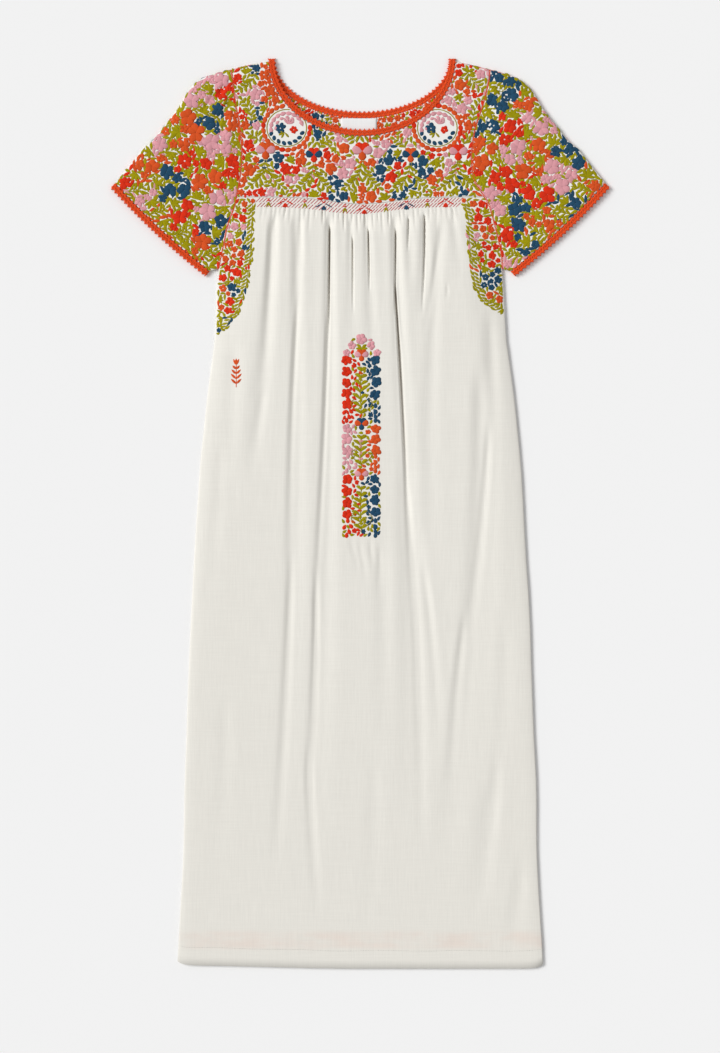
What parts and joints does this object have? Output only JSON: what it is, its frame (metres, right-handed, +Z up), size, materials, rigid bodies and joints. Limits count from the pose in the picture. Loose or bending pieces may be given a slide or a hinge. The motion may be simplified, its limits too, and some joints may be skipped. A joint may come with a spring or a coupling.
{
  "type": "embroidered midi dress",
  "caption": "Loose short-sleeved dress laid flat: flower-embroidered yoke and sleeves, gathered plain skirt, crochet edging at the round neck and cuffs.",
  "frame": {"origin": "under the middle of the garment, on the surface that it lies on", "axes": "+X to the right of the garment seen from its front, +Y from the hem to the neck, +Z up from the surface, out of the front"},
  "size_m": [0.711, 1.3, 0.014],
  "materials": {
    "embroidered_cloth": "white cotton covered with satin-stitched flowers in red, orange, pink, blue and olive green",
    "plain_cloth": "plain-woven off-white cotton, matt",
    "crochet_edging": "orange cotton crochet",
    "label_cloth": "smooth white woven tape, blank"
  },
  "bodies": {
    "root": {"front_yoke": "embroidered_cloth", "back_yoke": "embroidered_cloth", "front_skirt": "plain_cloth", "back_skirt": "plain_cloth", "sleeve_left": "embroidered_cloth", "sleeve_right": "embroidered_cloth", "neck_edging": "crochet_edging", "cuff_edging_left": "crochet_edging", "cuff_edging_right": "crochet_edging", "label": "label_cloth"}
  },
  "joints": []
}
